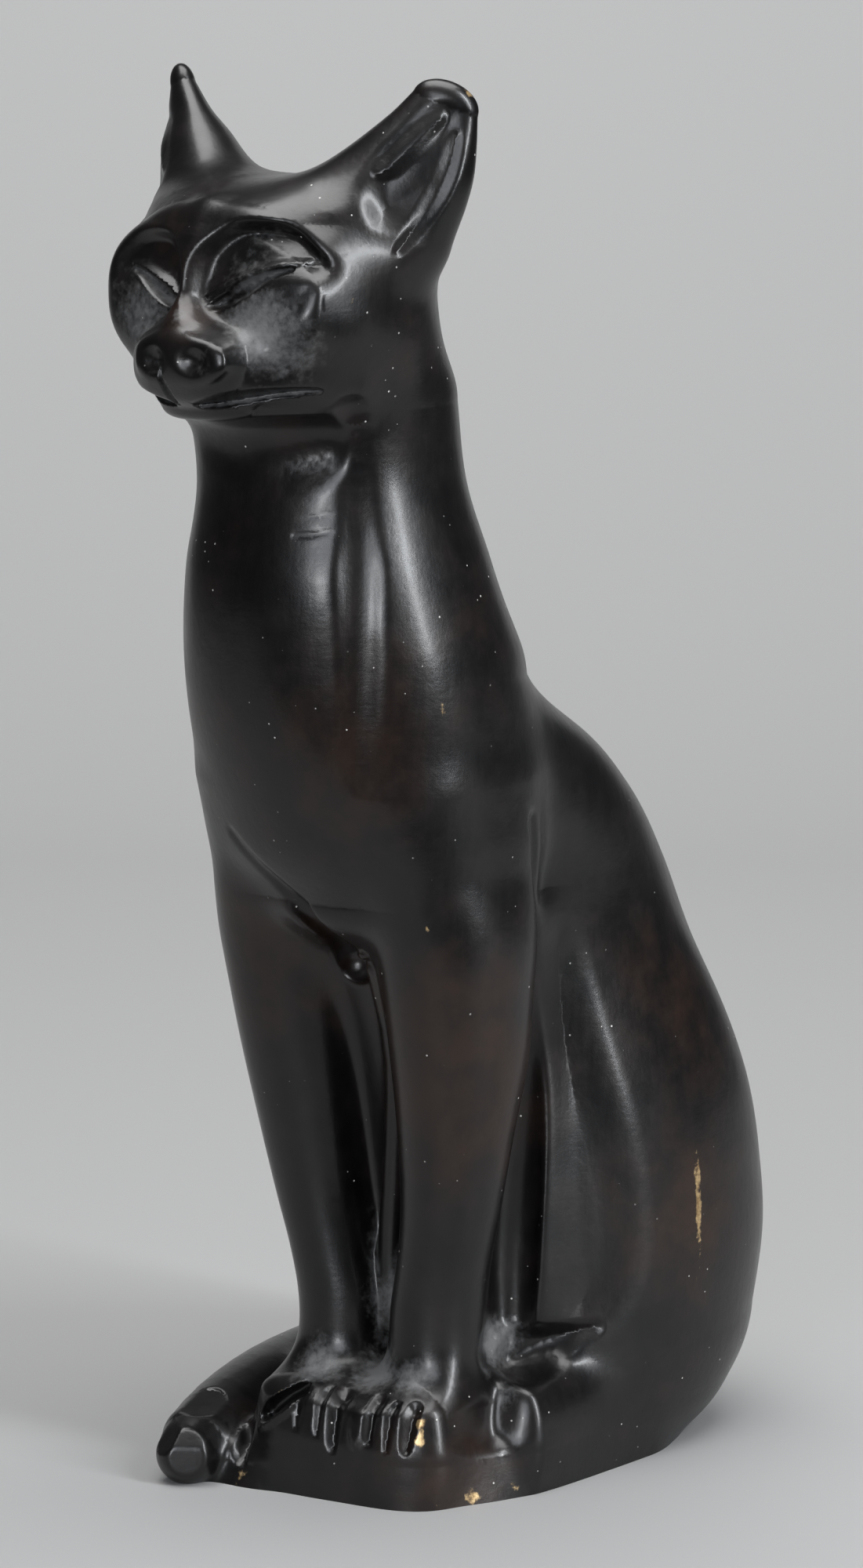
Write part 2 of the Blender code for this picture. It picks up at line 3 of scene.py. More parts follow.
import bmesh
import bpy
import numpy as np
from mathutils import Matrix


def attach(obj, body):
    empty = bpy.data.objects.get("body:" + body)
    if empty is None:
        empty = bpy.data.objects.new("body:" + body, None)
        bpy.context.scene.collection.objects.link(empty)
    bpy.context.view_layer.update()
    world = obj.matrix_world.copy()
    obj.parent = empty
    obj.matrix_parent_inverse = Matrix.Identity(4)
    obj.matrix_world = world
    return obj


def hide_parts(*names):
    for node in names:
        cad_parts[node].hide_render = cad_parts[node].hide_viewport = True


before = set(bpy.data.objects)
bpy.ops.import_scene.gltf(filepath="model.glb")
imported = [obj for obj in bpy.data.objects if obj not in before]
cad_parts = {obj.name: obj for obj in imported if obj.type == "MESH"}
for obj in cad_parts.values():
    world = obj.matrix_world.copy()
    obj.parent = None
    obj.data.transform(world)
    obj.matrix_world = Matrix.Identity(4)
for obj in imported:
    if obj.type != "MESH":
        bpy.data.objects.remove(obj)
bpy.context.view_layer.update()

# THE TRUNK
# The cat was modelled in wax and cast in bronze: a chest that stands like a column, a belly behind
# it, and a back that slopes down to a broad rump. Lengths are in millimetres until the casting.

UNIT = 0.001
LEFT, RIGHT = 1, -1
UP = (0, 0, 1)
FORWARD = (0, -1, 0)

wax = []
hollows = []
reliefs = []


def smooth_table(rows, fine=12):
    """Cubic curve through each column of the rows against the first: Hermite pieces whose slopes
    are the central differences."""
    rows = np.array(rows, float)
    if len(rows) == 1:
        return rows[:, 0], rows[:, 1:].T
    t, values = rows[:, 0], rows[:, 1:]
    slopes = np.gradient(values, t, axis=0)
    wanted = np.unique(np.linspace(t[:-1], t[1:], fine))
    i = np.clip(np.searchsorted(t, wanted) - 1, 0, len(t) - 2)
    width = (t[i + 1] - t[i])[:, None]
    s = (wanted - t[i])[:, None] / width
    curve = (
        (1 + 2 * s) * (1 - s) ** 2 * values[i]
        + s * (1 - s) ** 2 * width * slopes[i]
        + s**2 * (3 - 2 * s) * values[i + 1]
        + s**2 * (s - 1) * width * slopes[i + 1]
    )
    return wanted, curve.T


class Lump:
    """Oval sections (distance along, side offset, fore offset, half width, half depth) stacked on a
    straight axis, rounded off past the first and last by the two end lengths."""

    def __init__(self, base, axis, sections, ends, blend, square=2.0, across=(1, 0, 0)):
        self.base = np.array(base, float)
        rise = np.array(axis, float) / np.linalg.norm(axis)
        side = np.array(across, float) - rise * np.dot(across, rise)
        side /= np.linalg.norm(side)
        self.axes = np.stack([side, np.cross(rise, side), rise])
        self.first, self.last = sections[0][0], sections[-1][0]
        self.ends, self.blend, self.square = ends, blend, square
        self.steps, self.columns = smooth_table(sections)
        self.measure()

    def measure(self):
        skin = self.skin(16, 12)
        self.low, self.high = skin.min((0, 1)), skin.max((0, 1))

    def turn(self, rotation, pivot):
        self.base = rotation @ (self.base - pivot) + pivot
        self.axes = self.axes @ rotation.T
        self.measure()

    def section(self, along):
        return [np.interp(along, self.steps, column) for column in self.columns]

    def past(self, along):
        """How far past the first or last section, as a share of that end's rounding."""
        over = along - np.clip(along, self.first, self.last)
        return np.where(over < 0, over / self.ends[0], over / self.ends[1])

    def distance(self, points):
        """The superellipse level times (level - 1), over its slope: near the surface, millimetres."""
        side, fore, along = self.axes @ (points - self.base).T
        side_at, fore_at, half_side, half_fore = self.section(along)
        end = np.where(along < self.first, *self.ends)
        u = np.abs(side - side_at) / half_side
        v = np.abs(fore - fore_at) / half_fore
        w = self.past(along)
        n = self.square
        level = np.sqrt((u**n + v**n) ** (2 / n) + w**2)
        slope = np.sqrt((u / half_side) ** 2 + (v / half_fore) ** 2 + (w / end) ** 2)
        return level * (level - 1) / np.maximum(slope, 1e-6)

    def skin(self, columns=48, rows=32):
        """A grid of two angles: the height runs from one rounded end to the other, and each ring is
        the superellipse of its section, shrunk by the root of 1 - past squared."""
        turn = np.linspace(0, 2 * np.pi, columns, endpoint=False)[None, :]
        share = np.linspace(0, 1, rows)[:, None]
        start, stop = self.first - self.ends[0], self.last + self.ends[1]
        along = start + share * (stop - start) + 0 * turn
        side_at, fore_at, half_side, half_fore = self.section(along)
        swell = np.sqrt(np.clip(1 - self.past(along) ** 2, 0, 1))
        c, s = np.cos(turn), np.sin(turn)
        power = 2 / self.square
        side = side_at + half_side * swell * np.sign(c) * np.abs(c) ** power
        fore = fore_at + half_fore * swell * np.sign(s) * np.abs(s) ** power
        return self.base + np.stack([side, fore, along], -1) @ self.axes


wax += [
    Lump((0, 0, 0), UP, [
        (8, 0, 24, 22, 23), (20, 0, 27.5, 24, 27), (34, 0, 28.5, 24.6, 29.5), (48, 0, 27.5, 23, 29),
        (60, 0, 24.6, 21, 28.2), (72, 0, 21, 20.2, 27.2), (84, 0, 17, 19.8, 25), (95, 0, 10.7, 19.5, 22.6),
        (103, 0, 4.2, 18.5, 19.8), (109, 0, -3.2, 17, 17.2), (114, 0, -9, 15.5, 14),
    ], (10, 6), 0, square=2.15),
    Lump((0, 0, 0), UP, [
        (84, 0, -12.5, 18.5, 14.5), (90, 0, -13.2, 21.8, 18.4), (97, 0, -14.5, 22.8, 20.2),
        (104, 0, -15.9, 23.2, 21.2), (118, 0, -18.4, 22.8, 21.4), (130, 0, -20.2, 20.8, 20),
        (141, 0, -21.2, 18.0, 16.6), (152, 0, -22, 16.4, 15),
    ], (7, 9), 10),
    Lump((0, 0, 0), UP, [
        (14, 0, 6, 13, 12), (40, 0, 5, 13, 13), (66, 0, 2, 15, 16), (80, 0, -2, 17, 18),
    ], (12, 10), 6),
]

# THE HAUNCHES AND HIND FEET
# Folded hind legs pressed against the trunk. Each foot lies flat along the ground with a square
# front, and a hollow is scooped out between it and the foreleg.


class Rope:
    """A round form or groove along a smooth path of stops (x, y, z, radius)."""

    def __init__(self, stops, blend, samples=24):
        knots = np.array(stops, float)
        lengths = np.linalg.norm(np.diff(knots[:, :3], axis=0), axis=1)
        steps, columns = smooth_table(np.column_stack([np.concatenate([[0], np.cumsum(lengths)]), knots]))
        wanted = np.linspace(steps[0], steps[-1], samples)
        self.path = np.stack([np.interp(wanted, steps, column) for column in columns], -1)
        self.blend = blend
        self.measure()

    def measure(self):
        middle, radius = self.path[:, :3], self.path[:, 3:]
        self.low, self.high = (middle - radius).min(0), (middle + radius).max(0)

    def turn(self, rotation, pivot):
        self.path[:, :3] = (self.path[:, :3] - pivot) @ rotation.T + pivot
        self.measure()

    def distance(self, points):
        """Distance to the nearest stretch of the path, less the radius there."""
        best = np.full(len(points), 1e9)
        for a, b in zip(self.path[:-1], self.path[1:]):
            run = b[:3] - a[:3]
            from_a = points - a[:3]
            share = np.clip(from_a @ run / (run @ run), 0, 1)
            gap = np.linalg.norm(from_a - share[:, None] * run, axis=1)
            best = np.minimum(best, gap - (a[3] + share * (b[3] - a[3])))
        return best

    def skin(self, columns=24):
        """A circle carried along the path, square to it, and drawn in to a point over half a ball at
        each end."""
        tangent = np.gradient(self.path[:, :3], axis=0)
        tangent /= np.linalg.norm(tangent, axis=1)[:, None]
        cap = np.linspace(0, np.pi / 2, 7)[:-1]
        first, last = self.path[:1], self.path[-1:]
        head, tail = np.sin(cap)[:, None], np.cos(cap)[:, None]
        middle = np.concatenate([
            first[:, :3] - first[:, 3:] * tail * tangent[:1], self.path[:, :3],
            (last[:, :3] + last[:, 3:] * tail * tangent[-1:])[::-1],
        ])
        radius = np.concatenate([first[:, 3:] * head, self.path[:, 3:], (last[:, 3:] * head)[::-1]])
        along = np.concatenate([np.repeat(tangent[:1], 6, 0), tangent, np.repeat(tangent[-1:], 6, 0)])
        side = np.cross(along, UP)
        side /= np.linalg.norm(side, axis=1)[:, None]
        rise = np.cross(side, along)
        turn = np.linspace(0, 2 * np.pi, columns, endpoint=False)[None, :, None]
        round_it = np.cos(turn) * side[:, None] + np.sin(turn) * rise[:, None]
        return middle[:, None] + radius[:, None] * round_it


for side in (LEFT, RIGHT):
    wax += [
        Lump((side * 13, 25.5, 32), (0, -0.1, 1), [
            (-16, 0, 0.6, 11.6, 22), (-5, 0, 0.6, 12.3, 24.2), (6, 0, 0.4, 12.1, 24.2),
        ], (16, 36), 9, across=(1, -0.2 * side, 0)),
        Lump((side * 16.5, 22, 6.5), FORWARD, [
            (0, 0, 0, 6, 11), (12, 0, 0.5, 6, 9.5), (25, 0, 1, 5.8, 8.0),
        ], (8, 3.5), 3, square=2.6),
    ]
    hollows += [
        Rope([
            (side * 23, -6.5, 95, 0.8), (side * 22, -4.2, 87, 1.6), (side * 19.2, -1.2, 76, 2.2),
            (side * 16.6, 0.2, 60, 2.8), (side * 14.8, 0.4, 44, 3.2), (side * 14.0, 0.3, 30, 3.4),
            (side * 14, 0.3, 23, 3.0),
        ], 1.2),
        Rope([
            (side * 15.6, -4, 19.4, 2.6), (side * 17.6, 1, 18.6, 2.8), (side * 19.4, 4.5, 18.8, 1.8),
        ], 2.2, 8),
    ]


class Patch:
    """A part of the surface pressed in, or raised where the depth is negative. The outline is a
    smooth ring of (across, up) points on a plane that faces the patch."""

    AHEAD = 10

    def __init__(self, middle, facing, up, ring, depth, edge, reach, tilt=(0, 0)):
        self.base = np.array(middle, float)
        normal = np.array(facing, float) / np.linalg.norm(facing)
        rise = np.array(up, float) - normal * np.dot(up, normal)
        rise /= np.linalg.norm(rise)
        self.axes = np.stack([np.cross(rise, normal), rise, normal])
        self.depth, self.edge, self.reach, self.tilt = depth, edge, reach, np.array(tilt, float)
        p = np.array(ring, float)
        before, after, beyond = np.roll(p, 1, 0), np.roll(p, -1, 0), np.roll(p, -2, 0)
        s = np.arange(6)[:, None, None] / 6
        curve = 0.5 * (
            2 * p + s * (after - before) + s**2 * (2 * before - 5 * p + 4 * after - beyond)
            + s**3 * (3 * p - 3 * after + beyond - before)
        )
        self.ring = curve.transpose(1, 0, 2).reshape(-1, 2)
        self.measure()

    def measure(self):
        corners = np.concatenate([
            np.column_stack([self.ring, np.full(len(self.ring), level)])
            for level in (-self.reach, self.AHEAD)
        ])
        corners = self.base + corners @ self.axes
        self.low, self.high = corners.min(0) - self.edge, corners.max(0) + self.edge

    def turn(self, rotation, pivot):
        self.base = rotation @ (self.base - pivot) + pivot
        self.axes = self.axes @ rotation.T
        self.measure()

    def inside(self, flat):
        """Distance to the outline, positive within it by the even-odd rule."""
        best = np.full(len(flat), 1e9)
        within = np.zeros(len(flat), bool)
        x, y = flat.T
        for a, b in zip(self.ring, np.roll(self.ring, -1, axis=0)):
            run = b - a
            share = np.clip((flat - a) @ run / (run @ run), 0, 1)
            best = np.minimum(best, np.linalg.norm(flat - a - share[:, None] * run, axis=1))
            if run[1]:
                within ^= ((a[1] > y) != (b[1] > y)) & (x < a[0] + (y - a[1]) * run[0] / run[1])
        return np.where(within, best, -best)

    def sink(self, points):
        """The depth, with its tilt, times a smooth step of the distance inside the outline, fading out
        where the plane's reach behind it ends."""
        local = (points - self.base) @ self.axes.T
        share = np.clip(self.inside(local[:, :2]) / self.edge + 0.5, 0, 1)
        fade = np.clip((self.reach + local[:, 2]) / 1.5, 0, 1)
        return (self.depth + local[:, :2] @ self.tilt) * share**2 * (3 - 2 * share) * fade


FLANK_FACING = math.radians(60)
for side in (LEFT, RIGHT):
    outward_and_forward = np.array((side * math.sin(FLANK_FACING), -math.cos(FLANK_FACING), 0))
    for ring, depth, edge, reach in (
        ([(14, 76), (18, 62), (23, 44), (24, 30), (20, 23), (15, 24), (13, 40), (12.5, 62)], 1.5, 9, 12),
        ([
            (6.4, 16.2), (7.2, 19.8), (11, 20.8), (15, 20.8), (19.4, 20.8), (15, 18.6), (11.5, 16.9),
            (8.5, 15.4),
        ], 1.6, 3.4, 9),
    ):
        reliefs.append(Patch(
            12 * outward_and_forward, outward_and_forward, UP, [(side * x, z) for x, z in ring],
            depth, edge, reach,
        ))

# THE PLINTH, FORELEGS AND PAWS
# Straight forelegs on blocky paws, with a web of metal left between them. Toes were cut with a blunt
# tool, and a cleft in the right paw is a flaw of the casting.

wax += [
    Lump((0, 0, 0), UP, [(0, 0.5, 10.5, 21.2, 30.5), (6, 0.5, 10.5, 20.4, 29.8)], (6, 4), 3, square=3),
    Lump((-0.2, -9.6, 0), UP, [
        (0, 0, 0, 15.0, 14.4), (8, 0, 0, 14.7, 14.0), (12.4, 0, 0, 14.2, 13.2),
    ], (5, 3.0), 3, square=4, across=(1, 0.12, 0)),
    Lump((-16, -20, 0), UP, [(0, 0, 0, 8.5, 6.5), (3, 0, 0, 7.5, 5.5)], (5, 3.5), 3, square=2.6),
]
for side in (LEFT, RIGHT):
    fore = 1.5 if side == RIGHT else -1.5
    wax += [
        Lump((0, 0, 0), UP, [
            (8, side * 8.0, -11.5, 6.6, 7.5), (17, side * 8.0, -9.8, 6.1, 6.6),
            (26, side * 8.3, -9.0, 6.4, 6.8), (32, side * 9.5, -9.4, 6.3, 6.7),
            (38.6, side * 10.9, -9.9, 6.7, 6.8), (51, side * 12.5, -10.6, 7.8, 8.1),
            (62.5, side * 13.4, -10.9, 9.0, 10.1), (70, side * 13.7, -11.6, 9.6, 10.9),
            (77, side * 13.8, -12.2, 10.3, 11.7), (90, side * 12.6, -13.2, 10.8, 14.2),
            (100, side * 11.4, -14.2, 11.4, 16.5),
        ], (8, 10), 3, square=2.1),
        Lump((side * 7.8, -8, 8), FORWARD, [
            (0, 0, 1.5, 6.4, 9), (6, 0, 0.8, 6.8, 8.4), (10 + fore, 0, -0.8, 6.8, 7.4),
        ], (8, 3), 4, square=3),
    ]
wax.append(Rope([
    (4.5, -18, 74, 1.2), (3.6, -13, 62, 1.4), (1, -9.6, 46, 1.6), (-0.8, -8.2, 30, 1.8), (-0.6, -8, 22, 1.8),
], 1.5, 12))
wax.append(Rope([(-2.4, -17.4, 75.6, 0.7), (1, -18.6, 76.2, 0.8), (4, -20, 76.4, 0.7)], 0.6, 5))
hollows.append(Rope([
    (-10, -31.8, 93, 0.5), (-7, -31.4, 89.5, 1.0), (-3, -28, 84.5, 1.5), (0, -22, 79, 2.2), (0, -17, 74, 2.6),
], 1.2, 12))
for ring, depth, edge in (
    ([(0.5, 16), (1.9, 16), (1.7, 11), (1.3, 7.5), (0.7, 8), (0.4, 11)], 1.0, 2.0),
    ([(6.4, 14.5), (7.6, 14.5), (7.4, 11.5), (7.0, 9), (6.5, 9.5), (6.3, 11.5)], 0.7, 1.5),
    ([(4.0, 12.6), (6.0, 12.6), (5.8, 9.4), (4.8, 7.8), (3.8, 9.6)], -0.45, 1.6),
    ([(9.2, 13.5), (10.2, 14), (10.0, 10.4), (9.6, 8.2), (9.2, 10.4)], 0.5, 1.2),
    ([(11.9, 14), (13.2, 14), (13.0, 11), (12.5, 8.4), (12.0, 9), (11.8, 11)], 0.7, 1.6),
    ([(-5.4, 14.5), (-4.3, 14.5), (-4.5, 11.5), (-4.9, 9.5), (-5.3, 11.5)], 0.5, 1.6),
    ([(-1.9, 14.5), (-1.0, 14.5), (-1.2, 11), (-1.6, 9), (-1.9, 11)], 0.5, 1.2),
    ([
        (-11.4, 9.8), (-10.6, 11.4), (-8.2, 13.2), (-5.2, 14.8), (-5.6, 13.6), (-8.2, 11.7), (-10.2, 9.9),
    ], 4.0, 1.3),
    ([(-12, 8.6), (-9, 10.6), (-6, 12.4), (-6.4, 11.4), (-9, 9.4), (-11.4, 8.0)], -0.5, 1.2),
    ([(-15.4, 12), (-14.2, 11), (-13.8, 7), (-13.6, 3.4), (-14.8, 4), (-15.2, 8)], 1.5, 1.8),
):
    reliefs.append(Patch((0, -23.6, 0), (0.12, -1, 0), UP, ring, depth, edge, 4.5))

# THE TAIL
# It comes out of the rump, lies along the ground round the figure's right side, and ends in a
# roughly filed point beside the right paw.

wax.append(Rope([
    (4, 46, 9, 6.5), (-10, 50, 9, 7), (-22, 42, 8, 7), (-27.5, 27, 7.2, 6.8), (-28, 8, 7.0, 6.8),
    (-25.8, -8, 6.6, 6.4), (-23.4, -19.5, 5.4, 5.8), (-22.0, -25.6, 4.6, 5.0), (-21.0, -28.6, 4.0, 4.3),
], 3))


class Flat:
    """A flat left by a file: a plane through the point that works inside a ball of this reach."""

    blend = 0.25

    def __init__(self, point, facing, reach):
        self.point = np.array(point, float)
        self.facing = np.array(facing, float) / np.linalg.norm(facing)
        self.reach = reach
        self.low, self.high = self.point - reach, self.point + reach

    def turn(self, rotation, pivot):
        self.point = rotation @ (self.point - pivot) + pivot
        self.facing = rotation @ self.facing
        self.low, self.high = self.point - self.reach, self.point + self.reach

    def distance(self, points):
        """Minus the height over the plane, lifted with the distance past 0.6 of the reach."""
        gap = points - self.point
        return 0.8 * np.maximum(np.linalg.norm(gap, axis=1) - 0.6 * self.reach, 0) - gap @ self.facing


hollows += [
    Flat((-18.9, -31.3, 4.4), (0.64, -0.76, 0.08), 7.0),
    Flat((-19.2, -30.7, 6.4), (0.55, -0.62, 0.56), 5.0),
    Flat((-22.4, -31.0, 6.2), (-0.35, -0.70, 0.62), 6.0),
    Flat((-22.5, -23.5, 9.8), (0.15, -0.25, 0.95), 6.0),
]

# THE HEAD
# A broad wedge of a head on an upright neck, turned a little to its right. The muzzle is short, with
# a wide blunt nose, and the lower lip is set back under it.

head = [
    Lump((0, 0, 0), UP, [
        (134, 0, -23.5, 11.5, 10.5), (142, 0, -24.2, 13.4, 12.0), (150, 0, -25.2, 15.6, 13.8),
        (158, 0, -27.5, 17.6, 15.6), (166, 0, -29, 18.4, 16.2), (173, 0, -29.5, 18.0, 16.2),
        (176.5, 0, -30, 16.5, 14.5),
    ], (10, 5.0), 8, square=2.3),
    Lump((0, -30, 167), FORWARD, [
        (0, 0, 0, 18.6, 12.2), (8, -0.5, -0.2, 19.4, 12.0), (14.2, -0.8, -0.4, 18.3, 10.4),
    ], (10, 4.8), 7, square=2.5),
    Lump((0, -36, 158.2), FORWARD, [
        (0, 0, -0.8, 16.5, 7.2), (8, 0, -0.2, 13.8, 6.2), (14, 0, 0.2, 9.2, 5.4),
    ], (10, 4.5), 3, square=2.5),
    Lump((1.6, -46, 160), FORWARD, [
        (0, 0, 0, 7.2, 4.0), (5, 0, -0.2, 7.6, 3.6), (7.5, 0, -0.6, 7.6, 3.2),
    ], (4, 2.0), 1.5, square=2.6),
    Rope([
        (-1.5, -43.4, 177, 2.2), (-1.4, -47.0, 172.6, 1.9), (-1.2, -48.8, 167, 1.9),
        (-0.2, -50.4, 163, 2.8),
    ], 2.5, 8),
    Lump((0, -36, 152.2), FORWARD, [
        (0, 0, 0, 14.5, 3.0), (6, 0, 0, 11.6, 2.4), (10.5, 0, 0.2, 7.2, 2.0),
    ], (8, 3), 2.6, square=2.2),
]
jaw = Rope([
    (-9, -43.5, 145.5, 5.0), (0, -45.3, 144.6, 6.3), (8, -43.2, 145, 6.4), (13.2, -39.4, 146.2, 5.2),
], 1.5, 30)

# THE EARS
# Tall and thick, set wide apart and turned outwards, each hollowed in front by two strokes of the
# tool that leave a ridge between them. Their tips are rubbed down to bare metal.


carving = []
for side, thin, facing in ((LEFT, 0, 46), (RIGHT, 1, 66)):
    head.append(Lump((side * 15.8, -28.6, 176), (side * (7.8 + 0.2 * thin), 3.2, 20), [
        (0, side * -2.2, 0, 10.6, 7.2), (6, side * -0.6, 0, 9.0, 6.2), (10, side * 0.3, 0, 7.6, 5.2),
        (14, side * (0.8 - 0.6 * thin), 0, 5.9 - 0.8 * thin, 3.6 - 0.4 * thin),
        (17.5 + 1.5 * thin, side * (0.9 - 0.8 * thin), 0, 4.5 - 2.3 * thin, 2.1 - 0.4 * thin),
    ], (8, 3.0), 5, across=(0.72, side * 0.54, -0.3 * side)))
    turn = math.radians(facing)
    for ring, depth, edge in (
        ([
            (-3.6, -1), (-3.4, 3), (-1.6, 7), (0.8, 11.0), (2.8, 12.4), (4.4, 11), (5.0, 7), (4.4, 2),
            (1.6, -2), (-1.2, -3.4),
        ], 1.2, 4.6),
        ([
            (-3.6, 2.0), (-2.4, 5), (-0.4, 9.2), (1.4, 11.6), (2.2, 11.2), (1.2, 8.0), (-0.4, 4.8),
            (-1.8, 2.4),
        ], -0.8, 2.2),
        ([
            (4.8, 10.0), (5.8, 6), (5.4, 0.5), (3.6, -4.5), (2.2, -6.5), (3.2, -1), (4.0, 4), (4.2, 9.0),
        ], 0.5, 2.0),
    ):
        carving.append(Patch(
            (side * 20.2, -32.2, 180), (side * math.sin(turn), -math.cos(turn), 0), (side * 7.4, 3.2, 20),
            [(side * x, z * (1 - 0.2 * thin)) for x, z in ring],
            depth * (1 - 0.4 * thin), edge, 3.2 - 1.4 * thin,
        ))

# THE FACE
# Deep sockets with a sharp brow and a flat lower plane, narrow slanting eyes cut as slits under a
# raised lid, two round nostrils, and one straight cut for the mouth.


def on_face(ring, depth, edge, tilt=(0, 0)):
    """A patch drawn on the face as seen from the front, in the figure's own X and Z."""
    return Patch((0, -47, 165), FORWARD, UP, [(x, z - 165) for x, z in ring], depth, edge, 12, tilt)


def almond(start, stop, half_height, sag):
    """A pointed oval: half a sine wave over and under the line from one corner to the other."""
    a, b = np.array(start, float), np.array(stop, float)
    normal = np.array((a[1] - b[1], b[0] - a[0])) / np.linalg.norm(b - a)
    share = np.array((0.25, 0.5, 0.75))[:, None]
    swell = half_height * np.sin(np.pi * share)
    line = a + share * (b - a)
    return np.concatenate([[a], line + normal * (swell + sag), [b], (line - normal * (swell - sag))[::-1]])


def on_far_side(ring):
    """The far socket is a little smaller and lower: the near side's points, mirrored and shrunk."""
    return [(-2.2 - 0.8 * x, 165 + 0.86 * (z - 165)) for x, z in ring]


socket = [
    (0.0, 169.4), (1.2, 173), (5.0, 176), (10.9, 176), (14.8, 174), (17.6, 170.6), (16.2, 166.4),
    (12.5, 162.4), (10.6, 159.8), (9.2, 158.6), (7.4, 160.8), (3.2, 164), (0.4, 166.8),
]
brow = [
    (1.4, 169.6), (2.4, 172.2), (5.4, 174.4), (10.4, 174.4), (13.8, 172.8), (15.6, 171.0), (12, 170.8),
    (7.0, 170.0), (3.4, 168.6),
]
slit = [
    (2.2, 165.9), (4.4, 167.6), (7.4, 169.4), (10.6, 170.5), (13.4, 170.9), (11.2, 169.9), (8.8, 168.2),
    (6.8, 167.0), (4.4, 166.0),
]
lid = almond((1.6, 167.2), (14.6, 171.8), 0.55, 0.75)
for seen, tilt in ((list, -0.06), (on_far_side, 0.06)):
    carving += [
        on_face(seen(socket), 1.2, 2.8, (tilt, 0.13)),
        on_face(seen(brow), 1.1, 4.4),
        on_face(seen(lid), -0.7, 1.3),
        on_face(seen(slit), 1.4, 1.1),
    ]
half_mouth = [
    (2.0, 153.2), (4.5, 154.0), (7.5, 154.8), (10.8, 155.3), (14.6, 155.2), (11, 154.5), (7.5, 153.7),
    (4.5, 153.1),
]
carving += [on_face([(side * x, z) for x, z in half_mouth], 0.9, 1.0) for side in (LEFT, RIGHT)]
carving.append(on_face([(-1.5, 157.6), (-0.9, 157.6), (-0.7, 153.8), (-1.3, 153.8)], 0.5, 0.7))
nostrils = [
    Lump((x, -56.5, z), UP, [(0, 0, 0, wide, 2.5)], (1.9, 1.9), 1.6)
    for x, z, wide in ((5.0, 159.2, 2.3), (-2.3, 159.0, 2.0))
]

HEAD_TURN = math.radians(-1.5)
NECK = np.array((0, -25, 0))
looks = np.array((
    (math.cos(HEAD_TURN), -math.sin(HEAD_TURN), 0), (math.sin(HEAD_TURN), math.cos(HEAD_TURN), 0), (0, 0, 1),
))
for piece in head + carving + nostrils + [jaw]:
    piece.turn(looks, NECK)
wax += head
reliefs += carving
hollows = [jaw] + nostrils + hollows

# THE CHEST
# Polished, with one long shallow groove down its left side that catches the light along its edge,
# and a few nicks left from the filing.

hollows += [
    Rope([
        (17.9, -37.9, 150, 4.6), (17.9, -37.3, 143, 5.7), (18.3, -37.6, 134, 6.0), (18.5, -38.4, 123.6, 6.0),
        (17.9, -38.4, 113, 5.9), (16.4, -37.2, 102, 5.0),
    ], 0.8, 30),
    Rope([(7.4, -38.7, 137.6, 0.35), (12.9, -35.6, 138.7, 0.35)], 0.4, 4),
    Rope([(7.3, -38.8, 135.5, 0.45), (9.6, -37.9, 135.7, 0.6), (12.3, -36.2, 136.3, 0.4)], 0.4, 4),
]

# THE CASTING
# The wax becomes one skin: the lumps run together with soft fillets, the hollows are cut in, and the
# reliefs are pressed on. It is sliced flat underneath, where the real one was trimmed to stand.


def joined(a, b, reach):
    """The smaller of two distances, less a cubic where they differ by under 1.5 times the reach."""
    near = np.maximum(1.5 * reach - np.abs(a - b), 0) / reach
    return np.minimum(a, b) - near**3 * reach / 13.5


def surface(points):
    """Millimetres to the finished skin, negative inside."""
    result = wax[0].distance(points)
    for pieces, sign in ((wax[1:], 1), (hollows, -1)):
        for piece in pieces:
            margin = 1.5 * piece.blend + 3
            near = np.all((points > piece.low - margin) & (points < piece.high + margin), axis=1)
            if near.any():
                result[near] = sign * joined(sign * result[near], piece.distance(points[near]), piece.blend)
    for patch in reliefs:
        near = np.all((points > patch.low) & (points < patch.high), axis=1)
        if near.any():
            result[near] += patch.sink(points[near])
    return result


def netted(low, high, pitch):
    """The skin as a net of quads: one vertex in each small cube that the skin crosses, at the mean of
    its crossings of the cube's edges, and one quad round each crossed edge. Large cubes come first,
    and only those near the skin are cut up."""
    counts = np.ceil((high - low) / (4 * pitch)).astype(int)
    steps = np.indices(counts).reshape(3, -1).T
    rough = surface(low + 4 * pitch * steps).reshape(counts)
    close = np.abs(rough) < 8 * pitch
    for axis in range(3):
        close |= np.roll(close, -1, axis)
    level = np.where(rough < 0, -1.0, 1.0).astype(np.float32)
    for axis in range(3):
        level, close = level.repeat(4, axis), close.repeat(4, axis)
    index = np.argwhere(close)
    level[close] = surface(low + pitch * index)
    inside = level < 0
    shape = np.array(level.shape)
    weight = np.array((shape[1] * shape[2], shape[2], 1))
    crossings, rings = [], []
    for axis in range(3):
        ahead = np.roll(inside, -1, axis)
        edge = np.argwhere(inside != ahead)
        edge = edge[(edge[:, axis] < shape[axis] - 1) & (edge > 0).all(1)]
        unit, b, c = np.eye(3, dtype=int)[[axis, (axis + 1) % 3, (axis + 2) % 3]]
        here, there = level[tuple(edge.T)], level[tuple((edge + unit).T)]
        crossings.append(edge + (here / (here - there))[:, None] * unit)
        ring = np.stack([edge - b - c, edge - c, edge, edge - b], 1) @ weight
        rings.append(np.where((here < 0)[:, None], ring, ring[:, ::-1]))
    crossings, rings = np.concatenate(crossings), np.concatenate(rings)
    cubes, corners = np.unique(rings, return_inverse=True)
    corners = corners.reshape(rings.shape)
    total = np.stack([np.bincount(corners.ravel(), np.repeat(crossings[:, i], 4)) for i in range(3)], -1)
    return low + pitch * total / np.bincount(corners.ravel())[:, None], corners


def coordinates(mesh):
    """The vertices in millimetres."""
    flat = np.empty(len(mesh.vertices) * 3, np.float32)
    mesh.vertices.foreach_get("co", flat)
    return flat.reshape(-1, 3).astype(float) / UNIT


